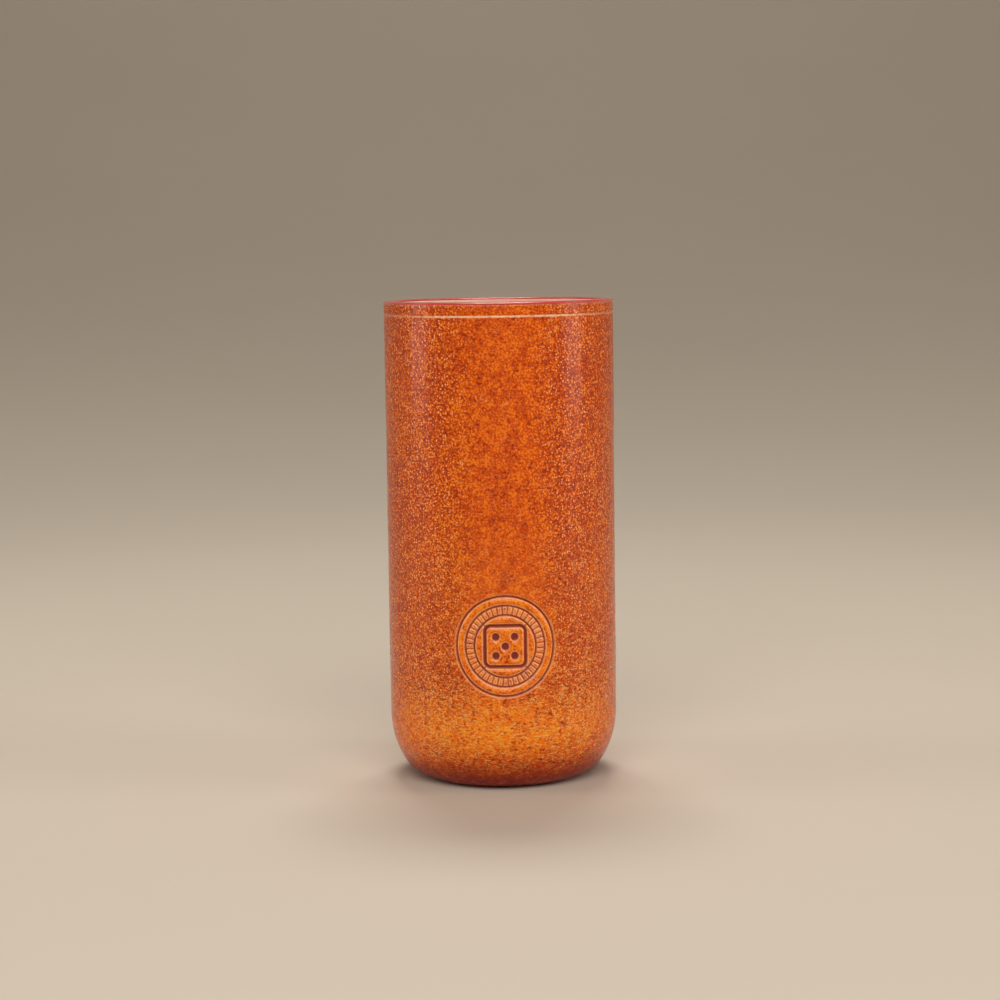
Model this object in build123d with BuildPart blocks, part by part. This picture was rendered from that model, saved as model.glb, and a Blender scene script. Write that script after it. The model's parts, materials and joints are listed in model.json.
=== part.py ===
from build123d import *
import os
from math import cos, radians, sin

# A leather dice cup. The outer leather is wrapped round a form, glued at a skived
# joint, moulded over the rounded foot and turned under, where a sole disc closes
# it. A leatherboard core stiffens the wall and the base, natural leather lines
# both, and a domed coat of edge paint finishes the rim.
#
# Millimetres. +Z is up, the origin is the centre of the underside, and the
# stamped emblem faces -Y.

# Overall size
OUTER_RADIUS = 26.0
HEIGHT = 108.5  # from the table to the crown of the rim

# Layers of the wall and of the base, from the outside in
OUTER_LEATHER = 1.4
CORE_BOARD = 0.6
LINING_LEATHER = 0.6

# Rounded foot: a large arc below the straight wall, then a small arc to the flat
SHOULDER_RADIUS = 22.0
SHOULDER_ANGLE = 29.0  # degrees that the large arc turns
HEEL_RADIUS = 8.0

# Joints between the pieces
TURNED_EDGE = 4.2  # flat width of the outer leather that is turned under
GLUE_LINE = 0.05  # gap all round the sole disc
LINING_JOINT_ANGLE = 60.0  # where the lining sleeve meets the lining floor

# Edge paint on the rim
PAINT_HEIGHT = 0.5
PAINT_PROUD = 0.1  # how far the bead stands out beyond the leather
PAINT_SETBACK = 0.05  # how far it stays back from the bore
PAINT_LIP = 0.12  # straight height of the bead below its dome

# Crease pressed round the wall below the rim
CREASE_BELOW_RIM = 3.0
CREASE_WIDTH = 0.45
CREASE_DEPTH = 0.12

# Blind-stamped emblem: a ring round a die face with five pips
EMBLEM_HEIGHT = 33.3  # its centre above the table
EMBLEM_RADIUS = 11.3
EMBLEM_RING_WIDTH = 0.4
EMBLEM_DEPTH = 0.3
DIE_SIDE = 9.4
DIE_LINE = 0.5
DIE_CORNER = 1.5
PIP_RADIUS = 0.78
PIP_PITCH = 2.1
STAMP_REACH = 2.0  # how far the stamping tool stands outside the wall

# Places that follow from the sizes above
core_depth = OUTER_LEATHER + CORE_BOARD
wall = core_depth + LINING_LEATHER
bore_radius = OUTER_RADIUS - wall
shoulder_end = radians(SHOULDER_ANGLE)
lining_joint = radians(LINING_JOINT_ANGLE)
layer_top = HEIGHT - PAINT_HEIGHT
shoulder_x = OUTER_RADIUS - SHOULDER_RADIUS
shoulder_z = HEEL_RADIUS + (SHOULDER_RADIUS - HEEL_RADIUS) * sin(shoulder_end)
heel_x = shoulder_x + (SHOULDER_RADIUS - HEEL_RADIUS) * cos(shoulder_end)
heel_z = HEEL_RADIUS
turned_radius = heel_x - TURNED_EDGE


def on_shoulder(depth, angle):
    """The point of the large arc at a depth into the wall, at an angle below level."""
    reach = SHOULDER_RADIUS - depth
    return (shoulder_x + reach * cos(angle), shoulder_z - reach * sin(angle))


def on_heel(depth, angle):
    """The point of the small arc at a depth into the wall, at an angle below level."""
    reach = HEEL_RADIUS - depth
    return (heel_x + reach * cos(angle), heel_z - reach * sin(angle))


def shoulder_arc(depth):
    """The whole large arc at a depth into the wall."""
    return ThreePointArc(
        on_shoulder(depth, 0),
        on_shoulder(depth, shoulder_end / 2),
        on_shoulder(depth, shoulder_end),
    )


def heel_arc(depth, start, end):
    """The small arc at a depth into the wall, between two angles below level."""
    return ThreePointArc(
        on_heel(depth, start),
        on_heel(depth, (start + end) / 2),
        on_heel(depth, end),
    )


os.makedirs("parts", exist_ok=True)

quarter = radians(90)

# Outer leather: wall, shoulder, heel and the edge turned under, drawn as a half
# section with X as the radius and Z as the height.
with BuildPart() as outer_shell:
    with BuildSketch(Plane.XZ):
        with BuildLine():
            Line((OUTER_RADIUS, layer_top), on_shoulder(0, 0))
            shoulder_arc(0)
            heel_arc(0, shoulder_end, quarter)
            Line(on_heel(0, quarter), (turned_radius, 0))
            Line((turned_radius, 0), (turned_radius, OUTER_LEATHER))
            Line((turned_radius, OUTER_LEATHER), on_heel(OUTER_LEATHER, quarter))
            heel_arc(OUTER_LEATHER, quarter, shoulder_end)
            shoulder_arc(OUTER_LEATHER)
            Line(on_shoulder(OUTER_LEATHER, 0), (OUTER_RADIUS - OUTER_LEATHER, layer_top))
            Line((OUTER_RADIUS - OUTER_LEATHER, layer_top), (OUTER_RADIUS, layer_top))
        make_face()
    revolve(axis=Axis.Z)
    # The crease is the shallow cap of a round creasing tool.
    crease_tool = ((CREASE_WIDTH / 2) ** 2 + CREASE_DEPTH**2) / (2 * CREASE_DEPTH)
    with BuildSketch(Plane.XZ):
        with Locations((OUTER_RADIUS + crease_tool - CREASE_DEPTH, HEIGHT - CREASE_BELOW_RIM)):
            Circle(crease_tool)
    revolve(axis=Axis.Z, mode=Mode.SUBTRACT)

# The stamping tool: the emblem's recesses pushed through the wall along +Y, then
# kept only from the wall's face down to the emblem's depth, so that the floor of
# every recess follows the round wall.
with BuildPart() as stamp_tool:
    with BuildSketch(Plane.XZ.offset(OUTER_RADIUS / 2)):
        with Locations((0, EMBLEM_HEIGHT)):
            Circle(EMBLEM_RADIUS)
            Circle(EMBLEM_RADIUS - EMBLEM_RING_WIDTH, mode=Mode.SUBTRACT)
            RectangleRounded(DIE_SIDE, DIE_SIDE, DIE_CORNER)
            RectangleRounded(
                DIE_SIDE - 2 * DIE_LINE,
                DIE_SIDE - 2 * DIE_LINE,
                DIE_CORNER - DIE_LINE,
                mode=Mode.SUBTRACT,
            )
            Circle(PIP_RADIUS)
            with GridLocations(2 * PIP_PITCH, 2 * PIP_PITCH, 2, 2):
                Circle(PIP_RADIUS)
    extrude(amount=OUTER_RADIUS / 2 + STAMP_REACH)
    with BuildSketch(Plane.XY):
        Circle(OUTER_RADIUS + STAMP_REACH)
        Circle(OUTER_RADIUS - EMBLEM_DEPTH, mode=Mode.SUBTRACT)
    extrude(amount=HEIGHT, mode=Mode.INTERSECT)

with outer_shell:
    add(stamp_tool.part, mode=Mode.SUBTRACT)

outer_shell.part.label = "outer_shell"
export_step(outer_shell.part, "parts/outer_shell.step")

# Sole disc, set flush into the opening that the turned edge leaves.
with BuildPart() as sole_disc:
    with BuildSketch(Plane.XY):
        Circle(turned_radius - GLUE_LINE)
    extrude(amount=OUTER_LEATHER)

sole_disc.part.label = "sole_disc"
export_step(sole_disc.part, "parts/sole_disc.step")

# Leatherboard sleeve between the outer leather and the lining, down to the end of
# the shoulder.
with BuildPart() as core_sleeve:
    with BuildSketch(Plane.XZ):
        with BuildLine():
            Line((OUTER_RADIUS - OUTER_LEATHER, layer_top), on_shoulder(OUTER_LEATHER, 0))
            shoulder_arc(OUTER_LEATHER)
            Line(on_shoulder(OUTER_LEATHER, shoulder_end), on_shoulder(core_depth, shoulder_end))
            shoulder_arc(core_depth)
            Line(on_shoulder(core_depth, 0), (OUTER_RADIUS - core_depth, layer_top))
            Line((OUTER_RADIUS - core_depth, layer_top), (OUTER_RADIUS - OUTER_LEATHER, layer_top))
        make_face()
    revolve(axis=Axis.Z)

core_sleeve.part.label = "core_sleeve"
export_step(core_sleeve.part, "parts/core_sleeve.step")

# Leatherboard dish that stiffens the base, edge to edge with the core sleeve.
with BuildPart() as core_base:
    with BuildSketch(Plane.XZ):
        with BuildLine():
            Line((0, OUTER_LEATHER), on_heel(OUTER_LEATHER, quarter))
            heel_arc(OUTER_LEATHER, quarter, shoulder_end)
            Line(on_heel(OUTER_LEATHER, shoulder_end), on_heel(core_depth, shoulder_end))
            heel_arc(core_depth, shoulder_end, quarter)
            Line(on_heel(core_depth, quarter), (0, core_depth))
            Line((0, core_depth), (0, OUTER_LEATHER))
        make_face()
    revolve(axis=Axis.Z)

core_base.part.label = "core_base"
export_step(core_base.part, "parts/core_base.step")

# Lining of the wall, which turns in over the heel as far as the lining joint.
with BuildPart() as lining_sleeve:
    with BuildSketch(Plane.XZ):
        with BuildLine():
            Line((OUTER_RADIUS - core_depth, layer_top), on_shoulder(core_depth, 0))
            shoulder_arc(core_depth)
            heel_arc(core_depth, shoulder_end, lining_joint)
            Line(on_heel(core_depth, lining_joint), on_heel(wall, lining_joint))
            heel_arc(wall, lining_joint, shoulder_end)
            shoulder_arc(wall)
            Line(on_shoulder(wall, 0), (bore_radius, layer_top))
            Line((bore_radius, layer_top), (OUTER_RADIUS - core_depth, layer_top))
        make_face()
    revolve(axis=Axis.Z)

lining_sleeve.part.label = "lining_sleeve"
export_step(lining_sleeve.part, "parts/lining_sleeve.step")

# Lining of the floor, a shallow dish that meets the lining sleeve edge to edge.
with BuildPart() as lining_floor:
    with BuildSketch(Plane.XZ):
        with BuildLine():
            Line((0, core_depth), on_heel(core_depth, quarter))
            heel_arc(core_depth, quarter, lining_joint)
            Line(on_heel(core_depth, lining_joint), on_heel(wall, lining_joint))
            heel_arc(wall, lining_joint, quarter)
            Line(on_heel(wall, quarter), (0, wall))
            Line((0, wall), (0, core_depth))
        make_face()
    revolve(axis=Axis.Z)

lining_floor.part.label = "lining_floor"
export_step(lining_floor.part, "parts/lining_floor.step")

# Edge paint: a bead on the trimmed edges of the three layers, straight at its
# sides and domed on top.
with BuildPart() as edge_paint:
    paint_inside = bore_radius + PAINT_SETBACK
    paint_outside = OUTER_RADIUS + PAINT_PROUD
    paint_middle = (paint_inside + paint_outside) / 2
    dome_foot = layer_top + PAINT_LIP
    with BuildSketch(Plane.XZ):
        with BuildLine():
            Line((paint_inside, layer_top), (paint_outside, layer_top))
            Line((paint_outside, layer_top), (paint_outside, dome_foot))
            ThreePointArc((paint_outside, dome_foot), (paint_middle, HEIGHT), (paint_inside, dome_foot))
            Line((paint_inside, dome_foot), (paint_inside, layer_top))
        make_face()
    revolve(axis=Axis.Z)

edge_paint.part.label = "edge_paint"
export_step(edge_paint.part, "parts/edge_paint.step")
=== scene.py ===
import json
from math import ceil, cos, pi, radians, sin

import bpy
import numpy as np
from bpy.props import FloatProperty, FloatVectorProperty, PointerProperty
from mathutils import Matrix, Vector


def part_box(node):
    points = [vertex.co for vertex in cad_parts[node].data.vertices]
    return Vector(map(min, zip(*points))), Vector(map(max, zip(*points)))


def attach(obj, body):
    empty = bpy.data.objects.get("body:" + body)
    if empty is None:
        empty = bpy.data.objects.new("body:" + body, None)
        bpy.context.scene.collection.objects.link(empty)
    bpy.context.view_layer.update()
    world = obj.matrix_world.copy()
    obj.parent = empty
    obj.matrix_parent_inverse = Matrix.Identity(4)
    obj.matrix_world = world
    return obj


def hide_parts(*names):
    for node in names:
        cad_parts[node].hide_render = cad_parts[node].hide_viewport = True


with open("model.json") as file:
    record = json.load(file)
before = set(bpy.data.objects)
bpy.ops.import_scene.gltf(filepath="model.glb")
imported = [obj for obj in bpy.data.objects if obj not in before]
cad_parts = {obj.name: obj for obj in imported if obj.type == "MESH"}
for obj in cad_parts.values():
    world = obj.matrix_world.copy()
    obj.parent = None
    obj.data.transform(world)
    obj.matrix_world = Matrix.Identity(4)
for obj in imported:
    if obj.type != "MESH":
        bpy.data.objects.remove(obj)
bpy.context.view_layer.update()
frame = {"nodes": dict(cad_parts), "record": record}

# A leather dice cup: glazed, antiqued leather moulded round a board core, lined
# with natural leather, with a domed coat of edge paint on the rim and a die face
# stamped low on the front. Metres, +Z up, the stamped emblem faces -Y.

bl_info = {
    "name": "Leather Dice Cup",
    "version": (1, 0, 0),
    "blender": (4, 5, 0),
    "location": "3D View > Sidebar > Dice Cup",
    "description": "Makes a moulded leather dice cup round its CAD frame, and a plain stage for it",
    "category": "Add Mesh",
}

MM = 0.001
BODY = "root"
FRONT = -pi / 2  # the direction that the emblem faces, as an angle about the axis

# Sizes that the frame gives.
CUP_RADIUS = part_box("outer_shell")[1].x
LAYER_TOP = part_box("outer_shell")[1].z
SOLE_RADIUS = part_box("sole_disc")[1].x
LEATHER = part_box("core_base")[0].z
CORE_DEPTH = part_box("lining_floor")[0].z
PAINT_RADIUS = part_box("edge_paint")[1].x
RIM_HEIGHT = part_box("edge_paint")[1].z
BORE_RADIUS = frame["record"]["mounts"][0]["dims"]["r_mm"] * MM
WALL = CUP_RADIUS - BORE_RADIUS


def length(name, description, default):
    """A size property in metres."""
    return FloatProperty(
        name=name, description=description, default=default, min=0.0, precision=5, unit="LENGTH"
    )


def angle_size(name, description, degrees):
    """An angle property, with its default given in degrees."""
    return FloatProperty(
        name=name, description=description, default=radians(degrees), subtype="ANGLE"
    )


def light_power(name, description, default):
    """A light's power, in watts."""
    return FloatProperty(
        name=name, description=description, default=default, min=0.0, unit="POWER"
    )


def colour(name, description, default):
    """A colour property, as linear red, green and blue."""
    return FloatVectorProperty(
        name=name, description=description, default=default,
        size=3, min=0.0, max=1.0, subtype="COLOR",
    )


class CupShape(bpy.types.PropertyGroup):
    """Sizes of the cup that a maker would choose."""

    shoulder_radius: length("Shoulder radius", "Large arc below the straight wall", 22 * MM)
    heel_radius: length("Heel radius", "Small arc between the shoulder and the underside", 8 * MM)
    shoulder_angle: angle_size("Shoulder angle", "How far the large arc turns", 29)
    turned_edge: length("Turned edge", "Flat width of the leather turned under", 4.2 * MM)
    lining_joint: angle_size("Lining joint", "Where the lining meets its floor, below level", 60)
    crease_below_rim: length("Crease below rim", "From the rim's crown to the crease", 3.0 * MM)
    crease_width: length("Crease width", "Width of the pressed crease line", 0.55 * MM)
    crease_depth: length("Crease depth", "Depth of the pressed crease line", 0.16 * MM)
    emblem_height: length("Emblem height", "Its centre above the table", 33.3 * MM)
    emblem_radius: length("Emblem radius", "Outer edge of the stamped emblem", 11.3 * MM)
    emblem_depth: length("Emblem depth", "How deep the emblem is pressed", 0.36 * MM)


class CupColours(bpy.types.PropertyGroup):
    """Colours of the leathers, with the painted light and shade of the outer leather, the board,
    the edge paint and the floor.
    """

    leather: colour("Leather", "Glazed tan of the outer leather", (0.70, 0.086, 0.001))
    leather_light: colour("Leather, light", "Where the dye is thinnest", (0.92, 0.20, 0.006))
    leather_dark: colour("Leather, dark", "Antiquing in the grain", (0.30, 0.020, 0.001))
    # The crown colour paints glints: tan on the pebble tops of the flanks stands in for reflected
    # side light. The hair lines also take it as their own pale tan.
    crown: colour("Pebble crown", "Tan tops of the grain pebbles", (0.97, 0.48, 0.18))
    # Painted shade between the pebbles on the flanks.
    flank_valley_shade: colour("Pebble valley", "Dark dye between the grain pebbles", (0.31, 0.026, 0.001))
    # Painted highlight on the crests of the fine folds.
    fold_line_highlight: colour("Fold", "Pale tops of the fine folds", (1.0, 0.55, 0.15))
    # Painted light: the low front and the stamp made yellower and paler where they face the key,
    # fading towards the sides.
    painted_front_light: colour("Drawn leather", "Yellower where moulding stretched it", (1.0, 0.195, 0.002))
    # The paler tone of that painted light.
    painted_front_light_pale: colour("Drawn leather, light", "Where its dye is thinnest", (1.0, 0.34, 0.014))
    # Partly wear, partly painted highlight: the pale edges of the stamp, the trimmed top edge and
    # the crease's lip.
    wear_and_highlight: colour("Leather, rubbed", "Edges that wear shows pale", (1.0, 0.62, 0.36))
    recess: colour("Stamped recess", "Antiquing left in the stamp", (0.24, 0.030, 0.018))
    # Painted shade: the heel is made darker towards the bottom, where it faces down and away from
    # the lights.
    painted_heel_shade: colour("Foot", "Darker burnish round the heel", (0.26, 0.009, 0.001))
    sole: colour("Sole", "Dyed leather of the sole disc", (0.30, 0.07, 0.014))
    sole_scuff: colour("Sole, scuffed", "Where the sole slides on a table", (0.42, 0.20, 0.08))
    lining: colour("Lining", "Natural undyed leather", (0.92, 0.58, 0.38))
    lining_handled: colour("Lining, handled", "Where handling darkened it", (0.74, 0.40, 0.22))
    lining_fibre: colour("Lining, fibres", "Pale fibres of its face", (0.95, 0.72, 0.52))
    lining_seam: colour("Lining, joints", "Glue and dirt in its joints", (0.30, 0.17, 0.08))
    board: colour("Core board", "Pressed leatherboard", (0.25, 0.15, 0.08))
    board_fibre: colour("Core board, fibres", "Paler fibres in it", (0.42, 0.29, 0.17))
    paint: colour("Edge paint", "Crimson of the rim", (0.70, 0.030, 0.040))
    paint_thick: colour("Edge paint, thick", "Darker where it gathers", (0.45, 0.010, 0.020))
    floor: colour("Floor", "Pale studio floor", (0.66, 0.56, 0.44))


class CupStage(bpy.types.PropertyGroup):
    """The camera and the lights."""

    camera_distance: length("Camera distance", "From the cup's axis to the camera", 0.5228)
    camera_height: length("Camera height", "Camera above the table", 0.1202)
    camera_tilt: angle_size("Camera tilt", "How far the camera looks down", 6.27)
    camera_roll: angle_size("Camera roll", "Turn of the camera about its view", 0.78)
    lens: FloatProperty(
        name="Lens", description="Focal length in millimetres", default=82.8, min=1.0, unit="CAMERA"
    )
    camera_bearing: angle_size("Camera bearing", "Turn of camera and lights to the left", 1.15)
    key_power: light_power("Key power", "The light above the camera", 5.5)
    side_power: light_power("Side power", "Each softbox at the side", 1.9)
    crown_power: light_power("Crown power", "The light high behind", 4.0)
    backdrop_power: light_power("Backdrop power", "The light on the backdrop", 2.2)
    rim_power: light_power("Rim power", "Each strip behind", 0.04)


# Shape: the half section, and the surfaces that follow it round the axis.


class Section:
    """The cup's half section, followed from the top of the leather down the wall, round the
    shoulder and the heel, and in along the underside."""

    def __init__(self, shape):
        self.turn = shape.shoulder_angle
        self.shoulder = shape.shoulder_radius
        self.heel = shape.heel_radius
        drop = self.heel + (self.shoulder - self.heel) * sin(self.turn)
        self.straight_end = LAYER_TOP - drop
        self.shoulder_end = self.straight_end + self.shoulder * self.turn
        self.heel_end = self.shoulder_end + self.heel * (pi / 2 - self.turn)
        self.end = self.heel_end + shape.turned_edge
        self.lining_end = self.shoulder_end + self.heel * (shape.lining_joint - self.turn)
        flat = CUP_RADIUS - self.shoulder + (self.shoulder - self.heel) * cos(self.turn)
        self.centre = self.heel_end + flat

    def at(self, travel, depth):
        """Radius, height and outward direction (radial and upward parts) at a distance along the
        outer face and a depth into the wall. The path is a line, two tangent arcs and a line, so
        each stretch adds what its own clipped share of the travel gives."""
        down = np.clip(travel, None, self.straight_end)
        large = np.clip((travel - self.straight_end) / self.shoulder, 0, self.turn)
        small = np.clip((travel - self.shoulder_end) / self.heel, 0, pi / 2 - self.turn)
        inward = np.clip(travel - self.heel_end, 0, None)
        slope = large + small
        radius = (
            CUP_RADIUS
            - self.shoulder * (1 - np.cos(large))
            - self.heel * (np.cos(large) - np.cos(slope))
            - inward
            - depth * np.cos(slope)
        )
        height = (
            LAYER_TOP
            - down
            - self.shoulder * np.sin(large)
            - self.heel * (np.sin(slope) - np.sin(large))
            + depth * np.sin(slope)
        )
        return radius, height, np.cos(slope), -np.sin(slope)


def spaced(start, stop, step):
    """Positions from start to stop whose gaps follow step(position): the count of gaps passed is
    the running sum of 1 / step, and the positions are where that sum is a whole share of it."""
    fine = np.linspace(start, stop, 6001)
    middle = (fine[1:] + fine[:-1]) / 2
    passed = np.concatenate(([0.0], np.cumsum(np.diff(fine) / step(middle))))
    return np.interp(np.linspace(0, passed[-1], ceil(passed[-1]) + 1), passed, fine)


def even(gap):
    """A step for spaced that is the same everywhere."""
    return lambda position: np.full_like(position, gap)


def smooth(value, low, high):
    """0 below low, 1 above high, and a smooth S between."""
    share = np.clip((value - low) / (high - low), 0, 1)
    return share * share * (3 - 2 * share)


def ripple(angle, travel, seed, longest, shortest, waves=36, squash=1.0):
    """Even random unevenness, about -1 to 1: a sum of plane waves whose lengths lie between
    longest and shortest. Each wave fits a whole number of times round the cup, so the surface
    closes. squash makes the waves longer round the cup than along it."""
    draw = np.random.default_rng(seed)
    number = 2 * pi / np.exp(draw.uniform(np.log(shortest), np.log(longest), waves))
    heading = draw.uniform(0, 2 * pi, waves)
    phase = draw.uniform(0, 2 * pi, waves)
    around = np.rint(CUP_RADIUS * number * np.cos(heading) / squash)
    along = number * np.sin(heading)
    total = 0.0
    for a, b, c in zip(around, along, phase):
        total = total + np.cos(a * angle + b * travel + c)
    return total / np.sqrt(2 * waves)


def swept(angle, radius, height):
    """Points at those angles, radii and heights about the axis, as rows and columns."""
    x, y = radius * np.cos(angle), radius * np.sin(angle)
    return np.stack(np.broadcast_arrays(x, y, height), axis=-1)


def grid_faces(rows, columns, close_rows):
    """Quads between neighbouring rows and columns; columns always join up, rows if asked."""
    row = np.arange(rows if close_rows else rows - 1)[:, None]
    column = np.arange(columns)[None, :]
    below = (row + 1) % rows
    right = (column + 1) % columns
    here, next_row = row * columns, below * columns
    corners = (here + column, next_row + column, next_row + right, here + right)
    return np.stack(np.broadcast_arrays(*corners), axis=-1).reshape(-1, 4)


def make_piece(name, points, attributes=None, poles=None):
    """A closed mesh object from a grid of points[row, column]. Without poles the rows join up into
    a ring; with poles (first, last) a fan of triangles closes each end."""
    rows, columns = points.shape[:2]
    quads = grid_faces(rows, columns, close_rows=poles is None)
    vertices = points.reshape(-1, 3)
    faces = quads.tolist()
    if poles is not None:
        first, last = len(vertices), len(vertices) + 1
        vertices = np.concatenate([vertices, np.array(poles)])
        column = np.arange(columns)
        right = (column + 1) % columns
        end = (rows - 1) * columns
        faces += np.stack([np.full(columns, first), column, right], axis=-1).tolist()
        faces += np.stack([end + column, np.full(columns, last), end + right], axis=-1).tolist()
    mesh = bpy.data.meshes.new(name)
    mesh.from_pydata(vertices.tolist(), [], faces)
    mesh.polygons.foreach_set("use_smooth", np.ones(len(mesh.polygons), dtype=bool))
    for key, values in (attributes or {}).items():
        extra = np.zeros(len(vertices))
        extra[: rows * columns] = np.broadcast_to(values, (rows, columns)).ravel()
        mesh.attributes.new(key, "FLOAT", "POINT").data.foreach_set("value", extra)
    mesh.validate()
    mesh.update()
    piece = bpy.data.objects.new(name, mesh)
    bpy.context.scene.collection.objects.link(piece)
    return piece


def finish_piece(piece, material, node):
    """Gives a piece its finish and its body, and hides the CAD node that it stands for."""
    piece.data.materials.append(material)
    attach(piece, BODY)
    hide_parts(node)


# The emblem. Lengths here are millimetres from its centre, and each shape is a
# signed distance: negative inside, positive outside.


def rounded_square(across, up, half, corner):
    """Signed distance to a square with rounded corners."""
    x = np.abs(across) - half + corner
    y = np.abs(up) - half + corner
    outside = np.hypot(np.maximum(x, 0), np.maximum(y, 0))
    return outside + np.minimum(np.maximum(x, y), 0) - corner


def inside(distance, blur):
    """1 inside a shape, 0 outside, with a soft edge of that width."""
    return 1 - smooth(distance, -blur / 2, blur / 2)


def emblem(across, up, radius):
    """A plain ring and a milled ring round a die face with five pips, which stands on puffed
    quarters. Returns what is sunk, how far what is left swells, what the stamp pressed smooth, and
    the edges that wear rubs pale and that carry a painted highlight, each 0 to 1."""
    edge = 0.24
    rho = np.hypot(across, up)
    turn = np.arctan2(up, across)

    # Three sunk rings, each its distance in from the emblem's edge and half its width.
    cuts = ((0.20, 0.20), (2.30, 0.16), (4.35, 0.17))
    rings = np.minimum.reduce([np.abs(rho - (radius - inward)) - half for inward, half in cuts])

    # The milled ring: notches between the teeth of a band between two of the rings.
    teeth, notch_half, band_inward, band_half = 44, 0.11, 3.32, 0.86
    share = (turn * teeth / (2 * pi) + 0.5) % 1 - 0.5
    tooth_side = (0.5 - np.abs(share)) * 2 * pi * rho / teeth
    band = np.abs(rho - (radius - band_inward)) - band_half
    notches = np.maximum(tooth_side - notch_half, band)

    # The die face in its field: a sunk outline, diagonal spokes and five pips.
    die_half, die_corner, outline_half, spoke_half = 4.2, 1.0, 0.35, 0.12
    pip_pitch, pip_radius = 2.1, 0.82
    field = rho - (radius - 4.5)
    die = rounded_square(across, up, die_half, die_corner)
    outline = np.maximum(np.abs(die - outline_half) - outline_half, field)
    diagonal = np.abs(np.abs(across) - np.abs(up)) / np.sqrt(2) - spoke_half
    spokes = np.maximum(diagonal, np.maximum(-die, field))
    corners = [(x, y) for x in (-pip_pitch, pip_pitch) for y in (-pip_pitch, pip_pitch)]
    near = np.minimum.reduce([np.hypot(across - x, up - y) for x, y in corners])
    pips = np.minimum(near, rho) - pip_radius

    cut = np.minimum.reduce([rings, notches, outline, spokes, pips])
    sunk = np.maximum.reduce([
        inside(rings, edge), 0.75 * inside(notches, edge), inside(outline, edge),
        0.7 * inside(spokes, edge), inside(pips, edge),
    ])
    swell = smooth(cut, 0.0, 0.9)
    pressed = inside(rho - radius - 0.3, 1.2)
    # Beside the sunk lines: pale from wear, with a painted highlight on the raised edges.
    beside = smooth(cut, 0.0, 0.12) * (1 - smooth(cut, 0.16, 0.42))
    wear_and_highlight = beside * inside(rho - radius - 0.25, 0.4)
    return sunk, swell, pressed, wear_and_highlight


# Finishes. A scale is the number of features to the metre.


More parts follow.
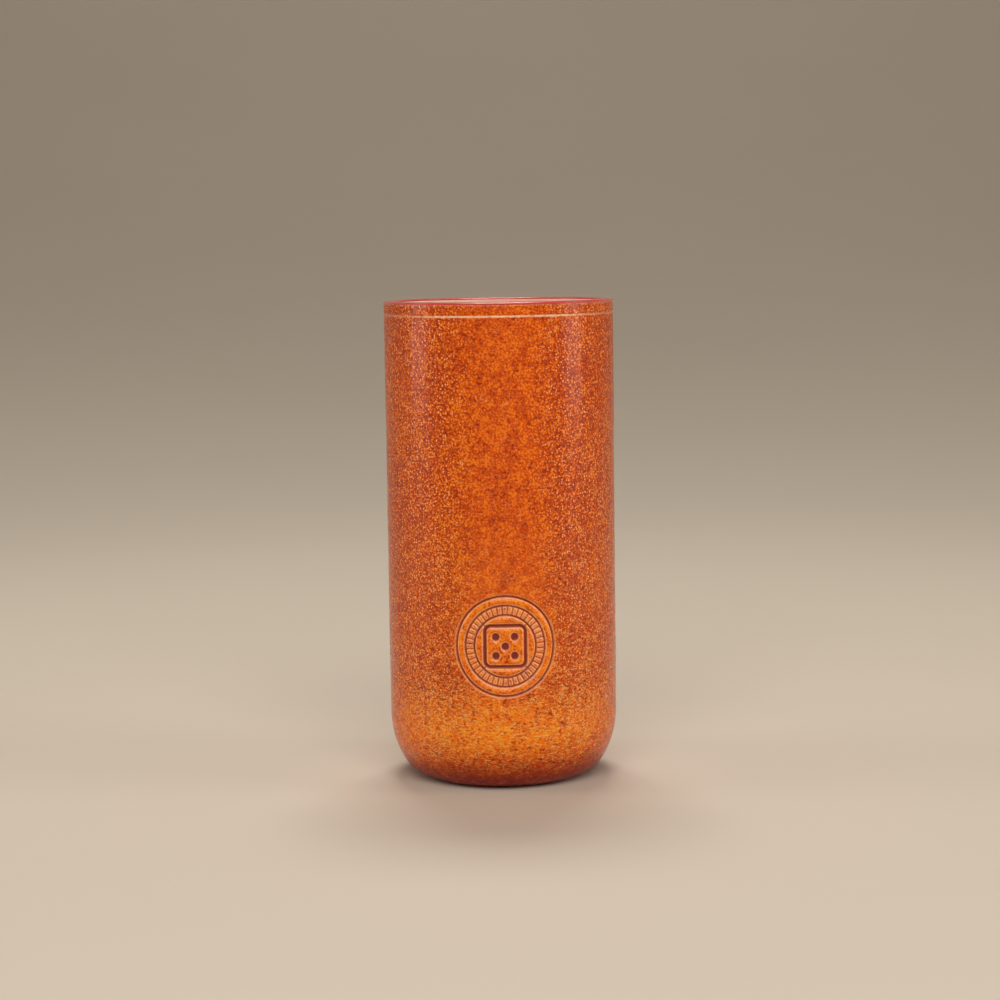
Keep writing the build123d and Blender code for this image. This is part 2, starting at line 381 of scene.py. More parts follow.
class Finish:
    """A new material and short calls to build its nodes."""

    def __init__(self, name):
        self.material = bpy.data.materials.new(name)
        self.material.use_nodes = True
        self.tree = self.material.node_tree
        self.tree.nodes.clear()
        self.place = self.add("ShaderNodeTexCoord").outputs["Object"]

    def add(self, kind, inputs=None, **settings):
        """A node with its settings, and each input either linked or set."""
        node = self.tree.nodes.new(kind)
        for key, value in settings.items():
            setattr(node, key, value)
        for key, value in (inputs or {}).items():
            if isinstance(value, bpy.types.NodeSocket):
                self.tree.links.new(value, node.inputs[key])
            else:
                node.inputs[key].default_value = value
        return node

    def stretched(self, scale, vector=None):
        """Coordinates scaled by a different amount along each axis."""
        mapping = self.add("ShaderNodeMapping", {"Vector": vector or self.place, "Scale": scale})
        return mapping.outputs["Vector"]

    def loosened(self, scale, reach):
        """Object coordinates nudged by noise, so that a pattern on them looks less regular."""
        inputs = {"Vector": self.place, "Scale": scale, "Detail": 1.0}
        inputs = {0: self.add("ShaderNodeTexNoise", inputs).outputs["Color"], "Scale": reach}
        nudge = self.add("ShaderNodeVectorMath", inputs, operation="SCALE").outputs["Vector"]
        moved = self.add("ShaderNodeVectorMath", {0: self.place, 1: nudge}, operation="ADD")
        return moved.outputs["Vector"]

    def noise(self, scale, detail=2.0, vector=None, roughness=0.5):
        """Noise, 0 to 1, with features about 1 / scale metres across."""
        inputs = {"Vector": vector or self.place, "Scale": scale}
        inputs.update({"Detail": detail, "Roughness": roughness})
        return self.add("ShaderNodeTexNoise", inputs).outputs["Fac"]

    def pebbles(self, scale, vector=None):
        """Distance from the nearest grain pebble's middle, in pebbles, and a colour for each."""
        cells = self.add("ShaderNodeTexVoronoi", {"Vector": vector or self.place, "Scale": scale})
        return cells.outputs["Distance"], cells.outputs["Color"]

    def math(self, operation, first, second=0.0, third=0.0, clamp=False):
        """A sum, product or other function of one to three values."""
        inputs = {0: first, 1: second, 2: third}
        return self.add("ShaderNodeMath", inputs, operation=operation, use_clamp=clamp).outputs[0]

    def times(self, first, second):
        """The product of two values."""
        return self.math("MULTIPLY", first, second)

    def between(self, share, first, second):
        """Two values mixed by a share."""
        inputs = {0: share, 2: first, 3: second}
        return self.add("ShaderNodeMix", inputs, data_type="FLOAT").outputs[0]

    def lines(self, value, width):
        """1 where a noise passes its middle value, fading to 0 within that width of it."""
        off = self.math("ABSOLUTE", self.math("MULTIPLY_ADD", value, 2.0, -1.0))
        return self.ramp(off, 0.0, width, 1.0, 0.0)

    def ramp(self, value, low, high, start=0.0, end=1.0):
        """Value carried from low-high to start-end, with smooth ends."""
        inputs = {"Value": value, "From Min": low, "From Max": high}
        inputs.update({"To Min": start, "To Max": end})
        node = self.add("ShaderNodeMapRange", inputs, interpolation_type="SMOOTHSTEP")
        return node.outputs["Result"]

    def blend(self, share, first, second):
        """Two colours mixed by a share; each may be a colour or a socket."""
        node = self.add("ShaderNodeMix", {0: share}, data_type="RGBA")
        for key, value in ((6, first), (7, second)):
            if isinstance(value, bpy.types.NodeSocket):
                self.tree.links.new(value, node.inputs[key])
            else:
                node.inputs[key].default_value = (*value, 1.0)
        return node.outputs[2]

    def attribute(self, name):
        """A value stored on the piece's own mesh."""
        return self.add("ShaderNodeAttribute", attribute_name=name).outputs["Fac"]

    def bump(self, height, distance, strength=1.0, normal=None):
        """A bumped normal from a height, 0 to 1, over that distance."""
        inputs = {"Height": height, "Distance": distance, "Strength": strength}
        if normal is not None:
            inputs["Normal"] = normal
        return self.add("ShaderNodeBump", inputs).outputs["Normal"]

    def surface(self, inputs):
        """Ends the material in one shader and returns it."""
        shader = self.add("ShaderNodeBsdfPrincipled", inputs)
        self.add("ShaderNodeOutputMaterial", {"Surface": shader.outputs["BSDF"]})
        return self.material


def outer_leather_finish(colours):
    """Glazed tan leather: rounded grain pebbles that stretch into short waves low on the front,
    dark antiquing in specks and clouds, painted highlights on the fine folds, pale hair lines,
    painted shade that darkens the heel, painted light that makes the low front paler and yellower,
    painted glints on the pebble tops and painted shade between them on the flanks, pale edges
    that are partly wear and partly painted highlight, and a thin clear glaze."""
    f = Finish("glazed_leather")
    marks = ("recess", "pressed", "wrinkle", "painted_heel_shade", "painted_front_light", "wear_and_highlight", "flank_glint_and_shade")
    recess, pressed, wrinkle, painted_heel_shade, painted_front_light, wear_and_highlight, flank_glint_and_shade = map(f.attribute, marks)
    loose = f.loosened(900.0, 0.22 * MM)
    long_place = f.stretched((0.80, 0.80, 1.35), loose)
    fold_place = f.stretched((0.75, 0.75, 1.7), loose)
    round_grain, round_colour = f.pebbles(1900.0, loose)
    long_grain, _ = f.pebbles(1500.0, long_place)
    grain = f.between(wrinkle, round_grain, long_grain)

    # Dye: three tones, laid by a sum of noises of different sizes, and made paler and yellower low
    # on the front by a painted light.
    cloud = f.noise(60.0, 2.0)
    patch = f.noise(520.0, 2.0, roughness=0.6)
    speck = f.noise(2200.0, 2.0, roughness=0.7)
    streak = f.noise(1700.0, 3.0, long_place, 0.65)
    fleck = f.between(wrinkle, speck, streak)
    dark = f.times(patch, 1.2)
    for value, weight in ((fleck, 2.0), (cloud, 0.45), (grain, 0.6), (painted_front_light, -0.04)):
        dark = f.math("MULTIPLY_ADD", value, weight, dark)
    light = f.blend(painted_front_light, colours.leather_light, colours.painted_front_light_pale)
    middle = f.blend(painted_front_light, colours.leather, colours.painted_front_light)
    deep = f.blend(f.times(painted_front_light, 0.15), colours.leather_dark, colours.leather)
    base = f.blend(f.ramp(dark, 1.80, 2.15), light, middle)
    base = f.blend(f.ramp(dark, 2.15, 2.70), base, deep)

    # Painted on the flanks: painted shade between the pebbles, and painted glints on the tops of
    # some.
    luck = f.add("ShaderNodeSeparateColor", {"Color": round_colour}).outputs[0]
    # Painted glints: tan on the tops of some pebbles, where the side light would glint.
    crown = f.times(f.ramp(round_grain, 0.14, 0.44, 1.0, 0.0), f.ramp(luck, 0.35, 0.85))
    flank_valley_shade = f.times(f.ramp(round_grain, 0.30, 0.62), f.ramp(speck, 0.35, 0.55))
    base = f.blend(f.times(f.times(flank_glint_and_shade, 0.8), flank_valley_shade), base, colours.flank_valley_shade)
    base = f.blend(f.times(f.times(flank_glint_and_shade, 0.95), crown), base, colours.crown)

    # Lines, wear, painted highlights and painted shade.
    # The fine fold lines, raised a little and given a painted highlight on their crests.
    fold_line_highlight = f.times(f.lines(f.noise(800.0, 2.0, fold_place), 0.06), wrinkle)
    hair = f.lines(f.noise(240.0, 1.0, fold_place), 0.022)
    hair = f.times(hair, f.ramp(f.noise(170.0), 0.52, 0.62))
    # Wear on the stamp's edges with a painted highlight, and painted highlights on the trimmed top
    # edge and the crease's lip.
    worn = f.times(wear_and_highlight, f.ramp(f.noise(900.0), 0.3, 0.55, 0.5, 1.0))
    base = f.blend(f.times(fold_line_highlight, 0.85), base, colours.fold_line_highlight)
    base = f.blend(f.times(hair, 0.5), base, colours.crown)
    # Painted shade, darkening the heel towards the bottom.
    base = f.blend(f.times(painted_heel_shade, f.ramp(patch, 0.25, 0.6, 0.75, 1.0)), base, colours.painted_heel_shade)
    base = f.blend(worn, base, colours.wear_and_highlight)
    base = f.blend(recess, base, colours.recess)

    # Relief: domed pebbles, less where the stamp pressed them.
    height = f.math("SUBTRACT", 1.0, f.math("POWER", f.times(grain, 1.15), 2.0), clamp=True)
    height = f.math("MULTIPLY_ADD", f.noise(4200.0, 2.0), 0.15, height)
    height = f.math("MULTIPLY_ADD", fold_line_highlight, 0.25, height)
    height = f.times(height, f.ramp(pressed, 0.0, 1.0, 1.0, 0.22))
    broad = f.bump(f.noise(520.0, 3.0), 0.08 * MM, 0.6)
    return f.surface({
        "Base Color": base, "Roughness": f.ramp(speck, 0.3, 0.7, 0.18, 0.30),
        "Normal": f.bump(height, 0.11 * MM, 1.0, broad), "IOR": 1.22,
        "Coat Weight": 0.25, "Coat Roughness": 0.14,
    })


def edge_paint_finish(colours):
    """Glossy crimson edge paint, brushed on by hand, so slightly wavy and worn in spots."""
    f = Finish("edge_paint")
    streak = f.noise(900.0, 3.0, f.stretched((1.0, 1.0, 3.0)))
    base = f.blend(f.ramp(streak, 0.35, 0.75, 0.0, 0.5), colours.paint, colours.paint_thick)
    bumped = f.bump(f.noise(1300.0, 2.0), 0.06 * MM, 0.8)
    return f.surface({
        "Base Color": base, "Roughness": f.ramp(streak, 0.3, 0.7, 0.28, 0.42), "Normal": bumped,
        "Coat Weight": 1.0, "Coat Roughness": 0.14,
    })


def lining_finish(colours):
    """Natural leather, matt, with faint fibres and handling marks."""
    f = Finish("lining_leather")
    fibre = f.noise(2600.0, 3.0, f.stretched((1.0, 1.0, 0.45)), 0.65)
    cloud = f.noise(90.0, 4.0)
    joint = f.attribute("joint")
    base = f.blend(f.ramp(cloud, 0.35, 0.7, 0.0, 0.55), colours.lining, colours.lining_handled)
    base = f.blend(f.ramp(fibre, 0.42, 0.7, 0.0, 0.45), base, colours.lining_fibre)
    base = f.blend(f.times(joint, 0.6), base, colours.lining_seam)
    bumped = f.bump(fibre, 0.09 * MM, 0.8)
    return f.surface({
        "Base Color": base, "Roughness": f.ramp(fibre, 0.3, 0.7, 0.68, 0.85), "Normal": bumped,
        "Sheen Weight": 0.15, "Sheen Roughness": 0.5,
    })


def sole_finish(colours):
    """Dyed leather of the sole, scuffed where it slides on a table."""
    f = Finish("sole_leather")
    grain, _ = f.pebbles(1300.0)
    scuff = f.noise(700.0, 5.0, f.stretched((0.25, 1.0, 1.0)), 0.7)
    base = f.blend(f.ramp(grain, 0.4, 0.9, 0.0, 0.6), colours.sole, colours.leather_dark)
    base = f.blend(f.ramp(scuff, 0.55, 0.75, 0.0, 0.5), base, colours.sole_scuff)
    bumped = f.bump(f.math("SUBTRACT", 1.0, grain, clamp=True), 0.10 * MM, 0.8)
    rough = f.ramp(scuff, 0.3, 0.7, 0.45, 0.68)
    return f.surface({"Base Color": base, "Roughness": rough, "Normal": bumped})


def board_finish(colours):
    """Pressed leatherboard: matted brown fibres."""
    f = Finish("core_board")
    flake = f.noise(1500.0, 5.0, roughness=0.7)
    base = f.blend(f.ramp(flake, 0.35, 0.65), colours.board, colours.board_fibre)
    bumped = f.bump(flake, 0.10 * MM, 0.8)
    return f.surface({"Base Color": base, "Roughness": 0.9, "Normal": bumped})


def floor_finish(colours):
    """Plain pale studio floor with the least unevenness."""
    f = Finish("studio_floor")
    tone = f.noise(6.0, 2.0)
    pale = tuple(colours.floor)
    base = f.blend(f.ramp(tone, 0.3, 0.7, 0.0, 0.25), pale, tuple(value * 0.94 for value in pale))
    return f.surface({"Base Color": base, "Roughness": 0.75})


# Pieces.


def crease_at(shape):
    """How far along the outer face the crease lies."""
    return shape.crease_below_rim - (RIM_HEIGHT - LAYER_TOP)


def leather_grid(shape, section):
    """The columns and rows of the outer leather's one closed sheet: distance round the cup from
    the front, distance along the outer face, and depth into the wall. The gaps grow with distance
    from the stamp, the crease, the trimmed edge and the skived joint."""
    emblem_travel = LAYER_TOP - shape.emblem_height
    half_round = pi * CUP_RADIUS
    finest, widest, low_widest, hidden_gap = 0.165 * MM, 1.3 * MM, 0.55 * MM, 3.0 * MM
    stamp_growth = 0.13
    stamp_reach = shape.emblem_radius + 0.7 * MM

    def column_step(arc):
        """The finer of the gaps that grow from the stamp's sides and from the joint."""
        stamp = np.clip(finest + stamp_growth * (np.abs(arc) - stamp_reach), finest, widest)
        return np.minimum(stamp, 0.10 * MM + 0.12 * (half_round - np.abs(arc)))

    def row_step(travel):
        """The finest of the gaps that grow from the stamp, the crease and the trimmed edge."""
        stamp = finest + stamp_growth * (np.abs(travel - emblem_travel) - stamp_reach)
        crease = 0.08 * MM + 0.2 * np.abs(travel - crease_at(shape))
        low = np.where(travel > emblem_travel, low_widest, widest)
        edge = 0.12 * MM + 0.3 * travel
        return np.minimum.reduce([np.clip(stamp, finest, None), crease, low, edge])

    eased = 0.12 * MM  # how far the sheet's edges are rounded
    arc = spaced(-half_round, half_round, column_step)[:-1]
    outside = spaced(eased, section.end - eased, row_step)
    hidden = spaced(0.1 * MM, section.end - eased, even(hidden_gap))[::-1]
    travel = np.concatenate([outside, np.full(2, section.end), hidden, np.zeros(2)])
    depth = np.concatenate([
        np.zeros(len(outside)), (eased, LEATHER - eased),
        np.full(len(hidden), LEATHER), (LEATHER - eased, eased),
    ])
    return arc[None, :], travel[:, None], depth[:, None]


def from_joint(arc, travel):
    """Distance round the cup from the outer leather's skived joint at the back, which wavers."""
    whole_round = 2 * pi * CUP_RADIUS
    waver = 0.5 * MM * np.sin(travel / (17 * MM))
    return (arc + whole_round) % whole_round - whole_round / 2 + waver


def leather_relief(shape, section, arc, travel, stamp, wrinkle):
    """How far the outer face stands out along its normal. It adds the moulding's slow and short
    waves, the crease with its raised lips, the eased trimmed edge, the stamp, the step of the
    skived joint, and the pleats of the turned edge, which never stand below the underside."""
    angle = FRONT + arc / CUP_RADIUS
    sunk, swell, pressed, _ = stamp
    slow, short, wave, inset = 0.05 * MM, 0.022 * MM, 0.035 * MM, 0.05 * MM
    foot_fade = 1 - smooth(travel, section.straight_end + 4 * MM, section.heel_end - 2 * MM)
    wavy = ripple(angle, travel, 11, 4.0 * MM, 1.4 * MM, 60, squash=2.4)
    tucked = ripple(angle, travel, 5, 60 * MM, 25 * MM)
    lumpy = ripple(angle, travel, 7, 14 * MM, 5 * MM, 48)
    relief = foot_fade * (slow * tucked + short * lumpy) - inset
    relief = relief + wave * wavy * wrinkle * foot_fade

    lip_height, edge_drop = 0.03 * MM, 0.12 * MM
    half = shape.crease_width / 2
    away = np.abs(travel - crease_at(shape))
    relief = relief - shape.crease_depth * (1 - smooth(away, 0, half))
    lip = smooth(away, 0.5 * half, half) * (1 - smooth(away, half, 3 * half))
    relief = relief + lip_height * lip
    relief = relief - edge_drop * (1 - smooth(travel, 0, 0.6 * MM))

    puff, press = 0.32 * MM, 0.20 * MM
    relief = relief - shape.emblem_depth * sunk + puff * swell * pressed - press * pressed

    joint_step = 0.05 * MM
    behind = from_joint(arc, travel)
    step = smooth(behind, -0.25 * MM, 0.25 * MM) - smooth(behind, 0.25 * MM, 9 * MM)
    relief = relief + joint_step * step

    pleat_count, pleat_depth, under_inset = 44, 0.07 * MM, 0.03 * MM
    under = smooth(travel, section.heel_end - 3 * MM, section.heel_end)
    pleats = 0.5 + 0.5 * np.cos(pleat_count * angle + 1.5 * np.sin(5 * angle))
    pleats = pleats * smooth(travel, section.heel_end - 1 * MM, section.end)
    relief = relief - under * (under_inset + pleat_depth * pleats)
    return np.where(under > 0.5, np.minimum(relief, 0.0), relief)


def leather_marks(shape, arc, travel, height, stamp, wrinkle):
    """Where each dye, wear, painted light and painted shade of the leather shows, 0 to 1, by the
    name that its finish reads.
    """
    sunk, _, pressed, wear_and_highlight = stamp
    facing = np.cos(arc / CUP_RADIUS)
    side = np.arccos(np.clip(facing, -1, 1))
    low = smooth(-height, -26 * MM, -10 * MM)
    # The flanks, by their turn from the front, where the finish paints glints on the pebbles and
    # shade between them.
    flank = smooth(side, radians(8), radians(32))
    flank = flank * (1 - 0.7 * smooth(side, radians(95), radians(145)))
    joint_line = 1 - smooth(np.abs(from_joint(arc, travel)), 0.04 * MM, 0.22 * MM)
    # A painted highlight on the trimmed top edge, where it catches the light, with its burnish.
    edge_burnish_highlight = 0.25 * (1 - smooth(travel, 0.15 * MM, 0.45 * MM))
    # A painted highlight on the crease's lip, fading towards the sides.
    crease_lip = 1 - smooth(np.abs(travel - crease_at(shape) - 0.13 * MM), 0.08 * MM, 0.32 * MM)
    crease_lip_highlight = 0.9 * crease_lip * (1 - 0.6 * smooth(side, radians(25), radians(60)))
    # A band low on the wall where the painted front light falls.
    stretched = smooth(-height, -27 * MM, -13 * MM) * (1 - smooth(-height, -13 * MM, -6 * MM))
    return {
        "flank_glint_and_shade": flank * (1 - 0.6 * low) * (1 - pressed),
        "recess": np.maximum(sunk * pressed, 0.8 * joint_line),
        "pressed": pressed,
        "wrinkle": wrinkle,
        "wear_and_highlight": np.maximum(0.62 * wear_and_highlight, np.maximum(edge_burnish_highlight, crease_lip_highlight)),
        # Painted shade, stronger towards the bottom of the heel.
        "painted_heel_shade": smooth(-height, -9.2 * MM, -1.8 * MM),
        # Painted light on the low front and on the stamp, fading towards the sides.
        "painted_front_light": np.maximum(stretched * smooth(facing, 0.1, 0.9), 0.75 * pressed),
    }


def make_outer_leather(shape, colours):
    """The moulded outer leather: one sheet down the wall, round the foot and turned under, then
    back up its own inner face. Its outer face is moved along its normal by the relief."""
    section = Section(shape)
    arc, travel, depth = leather_grid(shape, section)
    emblem_travel = LAYER_TOP - shape.emblem_height
    stamp = emblem(arc / MM, (emblem_travel - travel) / MM, shape.emblem_radius / MM)
    pressed = stamp[2]

    above = smooth(travel, emblem_travel - 30 * MM, emblem_travel - 14 * MM)
    below = smooth(travel, emblem_travel - 4 * MM, emblem_travel + 14 * MM)
    front = smooth(np.cos(arc / CUP_RADIUS), -0.2, 0.9)
    wrinkle = (0.35 * above + 0.65 * below) * front * (1 - pressed)

    outer_face = (depth < LEATHER / 2) & (travel > 0)
    relief = leather_relief(shape, section, arc, travel, stamp, wrinkle)
    lift = np.where(outer_face, relief, 0.0)
    radius, height, out_r, out_z = section.at(travel, depth)
    angle = FRONT + arc / CUP_RADIUS
    points = swept(angle, radius + lift * out_r, np.maximum(height + lift * out_z, 0.0))
    marks = leather_marks(shape, arc, travel, height, stamp, wrinkle)
    piece = make_piece("outer_leather", points, marks)
    finish_piece(piece, outer_leather_finish(colours), "outer_shell")


def make_edge_paint(colours):
    """The rim's bead of edge paint: a low dome over the trimmed edges, its flanks tucked in
    below, with the slight waver of a hand-held brush. The section is a superellipse."""
    columns, rows = 420, 40
    angle = np.linspace(0, 2 * pi, columns, endpoint=False)[None, :]
    around = np.linspace(0, 2 * pi, rows, endpoint=False)[:, None]
    waver = ripple(angle, 0 * around, 21, 18 * MM, 2.5 * MM, 40)
    swell = ripple(angle, 0 * around, 23, 30 * MM, 4 * MM, 40)
    middle = (PAINT_RADIUS + BORE_RADIUS) / 2
    half_width = (PAINT_RADIUS - BORE_RADIUS) / 2 - 0.05 * MM
    waist = LAYER_TOP + 0.12 * MM
    top = RIM_HEIGHT - 0.03 * MM + 0.015 * MM * swell
    bottom = LAYER_TOP - 0.10 * MM + 0.05 * MM * waver
    rise, run = np.cos(around), np.sin(around)
    bulge = np.abs(run) ** 0.7 * np.sign(run) * (1 + 0.012 * swell)
    radius = middle + half_width * np.clip(bulge, -0.99, 1.0)
    above = waist + (top - waist) * rise
    below = waist + (waist - bottom) * np.clip(1.6 * rise, -1, 0)
    piece = make_piece("edge_paint_bead", swept(angle, radius, np.where(rise > 0, above, below)))
    finish_piece(piece, edge_paint_finish(colours), "edge_paint")


def make_lining(shape, colours):
    """The lining sleeve: natural leather down the bore to the heel, where it meets the floor, and
    then back up its hidden face. Its skived joint makes a small step to one side of the front."""
    section = Section(shape)
    columns = 420
    angle = np.linspace(-pi, pi, columns, endpoint=False)[None, :]
    hidden = np.linspace(0.05 * MM, section.lining_end, 40)
    seen = spaced(0.0, section.lining_end, even(0.7 * MM))[::-1]
    travel = np.concatenate([hidden, seen])[:, None]
    depth = np.concatenate([np.full(len(hidden), CORE_DEPTH), np.full(len(seen), WALL)])[:, None]
    seam = FRONT + radians(40)
    waver = 0.6 * MM * np.sin(travel / (13 * MM))
    behind = ((angle - seam + pi) % (2 * pi) - pi) * CUP_RADIUS + waver
    step = smooth(behind, -0.2 * MM, 0.2 * MM) - smooth(behind, 0.2 * MM, 7 * MM)
    uneven = 0.03 * MM * ripple(angle, travel, 31, 25 * MM, 6 * MM)
    lift = np.where(depth > (CORE_DEPTH + WALL) / 2, 0.09 * MM * step + uneven - 0.04 * MM, 0.0)
    radius, height, _, _ = section.at(travel, depth + lift)
    joint = inside(np.abs(behind / MM) - 0.12, 0.3)
    piece = make_piece("lining", swept(angle, radius, height), {"joint": joint})
    finish_piece(piece, lining_finish(colours), "lining_sleeve")


def make_lining_floor(shape, colours):
    """The lining's floor: a shallow dish whose upper face is a little uneven."""
    section = Section(shape)
    columns = 300
    angle = np.linspace(0, 2 * pi, columns, endpoint=False)[None, :]
    seen = np.linspace(section.centre - 0.8 * MM, section.lining_end + 0.15 * MM, 40)
    hidden = np.linspace(section.lining_end + 0.05 * MM, section.centre - 0.8 * MM, 24)
    travel = np.concatenate([seen, hidden])[:, None]
    depth = np.concatenate([np.full(len(seen), WALL), np.full(len(hidden), CORE_DEPTH)])[:, None]
    uneven = 0.03 * MM * ripple(angle, travel, 41, 12 * MM, 4 * MM)
    fade = smooth(section.centre - travel, 0.5 * MM, 4 * MM)
    lift = np.where(depth > (CORE_DEPTH + WALL) / 2, (uneven - 0.03 * MM) * fade, 0.0)
    radius, height, _, _ = section.at(travel, depth + lift)
    joint = inside((travel - section.lining_end) / MM - 0.3, 0.4) * np.ones_like(angle)
    piece = make_piece(
        "lining_base", swept(angle, radius, height), {"joint": joint},
        poles=[(0, 0, WALL), (0, 0, CORE_DEPTH)],
    )
    finish_piece(piece, lining_finish(colours), "lining_floor")


def make_sole(colours):
    """The sole disc: flat, with its lower edge eased and its middle lifted a hair by the glue."""
    columns = 260
    angle = np.linspace(0, 2 * pi, columns, endpoint=False)[None, :]
    ease = 0.25 * MM
    across = np.concatenate([
        np.linspace(0.5 * MM, SOLE_RADIUS - 0.1 * MM, 16), (SOLE_RADIUS, SOLE_RADIUS),
        SOLE_RADIUS - ease * (1 - np.cos(np.linspace(0.3, pi / 2, 5))),
        np.linspace(SOLE_RADIUS - 2 * ease, 0.5 * MM, 24),
    ])[:, None]
    height = np.concatenate([
        np.full(16, LEATHER), (LEATHER - 0.1 * MM, ease),
        ease * (1 - np.sin(np.linspace(0.3, pi / 2, 5))), np.zeros(24),
    ])[:, None]
    worn = 0.03 * MM * (1 + ripple(angle, across, 51, 16 * MM, 5 * MM))
    lift = np.where(height < ease, np.clip(worn, 0, None) * smooth(across, 1 * MM, 5 * MM), 0.0)
    points = swept(angle, across, height + lift)
    piece = make_piece("sole", points, poles=[(0, 0, LEATHER), (0, 0, 0.0)])
    finish_piece(piece, sole_finish(colours), "sole_disc")


def finish_core(colours):
    """The two boards inside the wall keep their CAD meshes and get their finish."""
    board = board_finish(colours)
    for node in ("core_sleeve", "core_base"):
        mesh = frame["nodes"][node].data
        mesh.materials.clear()
        mesh.materials.append(board)


# Stage.


def make_floor(colours):
    """A pale floor that curves up into a wall all round: flat, then a quarter circle, then
    upright."""
    flat, curve, top = 0.5, 1.5, 1.7
    rings, bend_rings, sides = 24, 40, 96
    turn = np.linspace(0, pi / 2, bend_rings)
    bend = flat + curve * np.sin(turn[1:])
    radius = np.concatenate([np.linspace(0.02, flat, rings), bend, (flat + curve,)])
    height = np.concatenate([np.zeros(rings), curve * (1 - np.cos(turn[1:])), (top,)])
    angle = np.linspace(0, 2 * pi, sides, endpoint=False)[None, :]
    points = swept(angle, radius[::-1, None], height[::-1, None])
    rows, columns = points.shape[:2]
    faces = grid_faces(rows, columns, close_rows=False).tolist()
    vertices = np.concatenate([points.reshape(-1, 3), [(0, 0, 0)]])
    end = (rows - 1) * columns
    faces += [[end + c, rows * columns, end + (c + 1) % columns] for c in range(columns)]
    mesh = bpy.data.meshes.new("studio_floor")
    mesh.from_pydata(vertices.tolist(), [], faces)
    mesh.flip_normals()
    mesh.polygons.foreach_set("use_smooth", np.ones(len(mesh.polygons), dtype=bool))
    mesh.materials.append(floor_finish(colours))
    floor = bpy.data.objects.new("studio_floor", mesh)
    bpy.context.scene.collection.objects.link(floor)


CUP_MIDDLE = (0.0, 0.0, 0.055)  # where the lights point


def make_light(name, bearing, distance, height, size, power, spread=180.0, aim=CUP_MIDDLE):
    """A rectangular area light. Its bearing is measured from the front, towards the left, and its
    size is width by height. Spread, in degrees, is how far its grid lets the light fan out."""
    data = bpy.data.lights.new(name, "AREA")
    data.shape = "RECTANGLE"
    data.size, data.size_y = size
    data.energy = power
    data.spread = radians(spread)
    light = bpy.data.objects.new(name, data)
    place = Vector((-sin(bearing) * distance, -cos(bearing) * distance, height))
    facing = (Vector(aim) - place).to_track_quat("-Z", "Y").to_matrix().to_4x4()
    light.matrix_world = Matrix.Translation(place) @ facing
    light.visible_camera = False
    bpy.context.scene.collection.objects.link(light)


def make_lights(stage):
    """A soft key above the camera, a softbox at each side, a thin strip behind each side, a light
    high behind for the rim, a gridded one for the backdrop, and a little light from everywhere.
    All but the last turn with the camera's bearing."""
    turn = stage.camera_bearing
    side, rim = stage.side_power, stage.rim_power
    make_light("key", turn - radians(2), 0.72, 0.68, (0.80, 0.60), stage.key_power)
    make_light("side_left", turn + radians(86), 0.75, 0.22, (0.28, 0.60), side * 0.9)
    make_light("side_right", turn - radians(78), 0.75, 0.22, (0.28, 0.60), side)
    make_light("rim_left", turn + radians(138), 0.80, 0.20, (0.10, 0.60), rim)
    make_light("rim_right", turn - radians(134), 0.80, 0.20, (0.08, 0.60), rim * 0.6)
    make_light("crown", turn + pi, 0.35, 0.90, (0.35, 0.25), stage.crown_power)
    far = Vector((sin(turn) * 2.1, cos(turn) * 2.1, 0.55))
    make_light("backdrop", turn + pi, 0.70, 1.45, (1.6, 0.40), stage.backdrop_power, 100, far)
    world = bpy.data.worlds.new("studio_air")
    world.use_nodes = True
    world.node_tree.nodes["Background"].inputs["Color"].default_value = (1.0, 0.92, 0.82, 1.0)
    world.node_tree.nodes["Background"].inputs["Strength"].default_value = 0.06
    bpy.context.scene.world = world
    bpy.context.scene.view_settings.view_transform = "Standard"


def make_camera(stage):
    """The camera stands in front of the cup, a little above the rim, and looks slightly down."""
    data = bpy.data.cameras.new("camera")
    data.lens = stage.lens
    data.sensor_width = 36.0
    data.clip_start, data.clip_end = 0.01, 20.0
    camera = bpy.data.objects.new("camera", data)
    bearing = Matrix.Rotation(-stage.camera_bearing, 4, "Z")
    sideways = -0.2 * MM
    place = Matrix.Translation((sideways, -stage.camera_distance, stage.camera_height))
    tilt = Matrix.Rotation(pi / 2 - stage.camera_tilt, 4, "X")
    camera.matrix_world = bearing @ place @ tilt @ Matrix.Rotation(-stage.camera_roll, 4, "Z")
    bpy.context.scene.collection.objects.link(camera)
    bpy.context.scene.camera = camera


# The add-on.


class DICECUP_OT_outer_leather(bpy.types.Operator):
    """Make the moulded outer leather with its crease and stamped emblem"""

    bl_idname = "dicecup.outer_leather"
    bl_label = "Outer Leather"

    def execute(self, context):
        make_outer_leather(context.scene.cup_shape, context.scene.cup_colours)
        return {"FINISHED"}


class DICECUP_OT_sole(bpy.types.Operator):
    """Make the sole disc that closes the underside"""

    bl_idname = "dicecup.sole"
    bl_label = "Sole"

    def execute(self, context):
        make_sole(context.scene.cup_colours)
        return {"FINISHED"}


class DICECUP_OT_core(bpy.types.Operator):
    """Give the core boards their finish"""

    bl_idname = "dicecup.core"
    bl_label = "Core Boards"

    def execute(self, context):
        finish_core(context.scene.cup_colours)
        return {"FINISHED"}


class DICECUP_OT_lining(bpy.types.Operator):
    """Make the lining sleeve and its floor"""

    bl_idname = "dicecup.lining"
    bl_label = "Lining"

    def execute(self, context):
        make_lining(context.scene.cup_shape, context.scene.cup_colours)
        make_lining_floor(context.scene.cup_shape, context.scene.cup_colours)
        return {"FINISHED"}


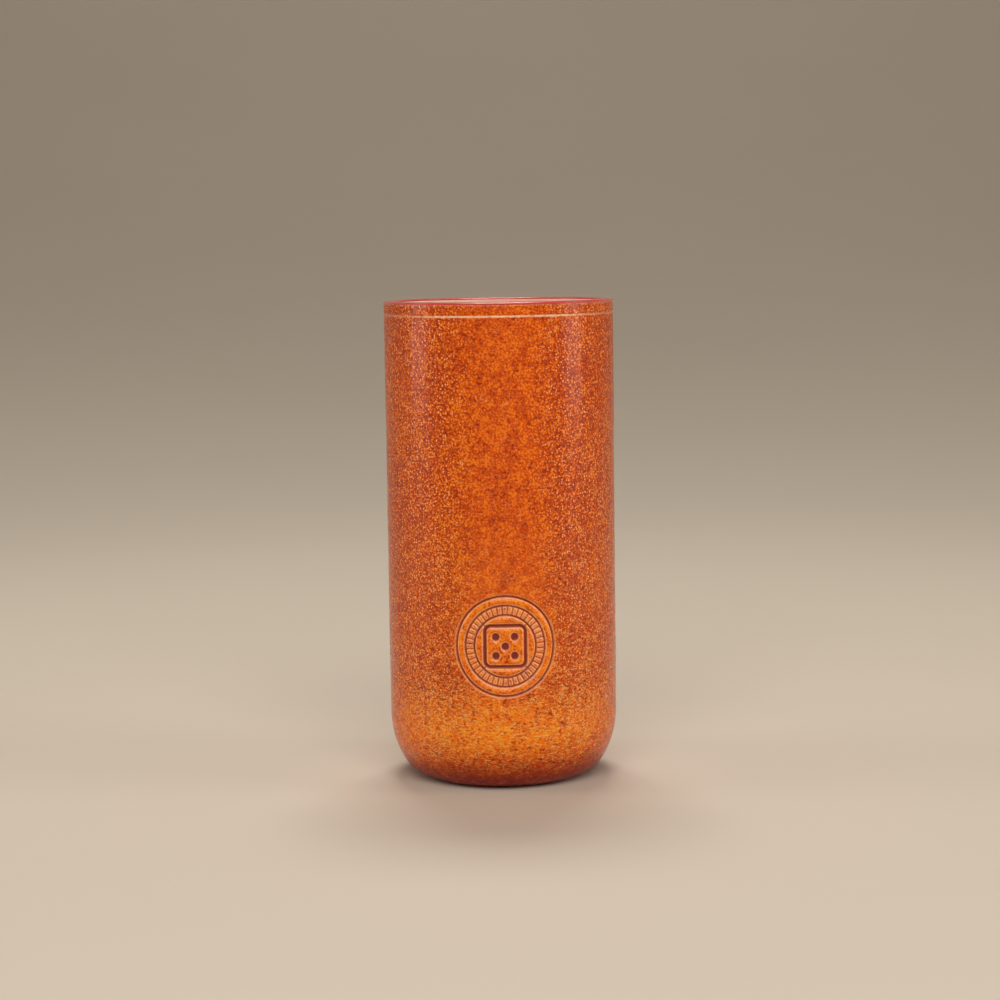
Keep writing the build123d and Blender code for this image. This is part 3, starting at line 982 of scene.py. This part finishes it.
class DICECUP_OT_edge_paint(bpy.types.Operator):
    """Make the bead of edge paint on the rim"""

    bl_idname = "dicecup.edge_paint"
    bl_label = "Edge Paint"

    def execute(self, context):
        make_edge_paint(context.scene.cup_colours)
        return {"FINISHED"}


class DICECUP_OT_stage(bpy.types.Operator):
    """Make the floor, the lights and the camera"""

    bl_idname = "dicecup.stage"
    bl_label = "Stage"

    def execute(self, context):
        make_floor(context.scene.cup_colours)
        make_lights(context.scene.cup_stage)
        make_camera(context.scene.cup_stage)
        return {"FINISHED"}


class DICECUP_PT_panel(bpy.types.Panel):
    """The cup's sizes and colours, and a button for each piece"""

    bl_idname = "DICECUP_PT_panel"
    bl_label = "Dice Cup"
    bl_space_type = "VIEW_3D"
    bl_region_type = "UI"
    bl_category = "Dice Cup"

    def draw(self, context):
        layout = self.layout
        scene = context.scene
        for group in (scene.cup_shape, scene.cup_colours, scene.cup_stage):
            box = layout.box()
            for key in group.__annotations__:
                box.prop(group, key)
        for operator in OPERATORS:
            layout.operator(operator.bl_idname)


OPERATORS = (
    DICECUP_OT_stage,
    DICECUP_OT_outer_leather,
    DICECUP_OT_sole,
    DICECUP_OT_core,
    DICECUP_OT_lining,
    DICECUP_OT_edge_paint,
)
CLASSES = (CupShape, CupColours, CupStage, *OPERATORS, DICECUP_PT_panel)


def register():
    """Adds the classes, and the property groups to the scene."""
    for item in CLASSES:
        bpy.utils.register_class(item)
    bpy.types.Scene.cup_shape = PointerProperty(type=CupShape)
    bpy.types.Scene.cup_colours = PointerProperty(type=CupColours)
    bpy.types.Scene.cup_stage = PointerProperty(type=CupStage)


def unregister():
    """Takes away what register adds."""
    del bpy.types.Scene.cup_stage
    del bpy.types.Scene.cup_colours
    del bpy.types.Scene.cup_shape
    for item in reversed(CLASSES):
        bpy.utils.unregister_class(item)


def main():
    """Makes the stage and the pieces."""
    register()
    bpy.ops.dicecup.stage()
    bpy.ops.dicecup.outer_leather()
    bpy.ops.dicecup.sole()
    bpy.ops.dicecup.core()
    bpy.ops.dicecup.lining()
    bpy.ops.dicecup.edge_paint()


if __name__ == "__main__":
    main()
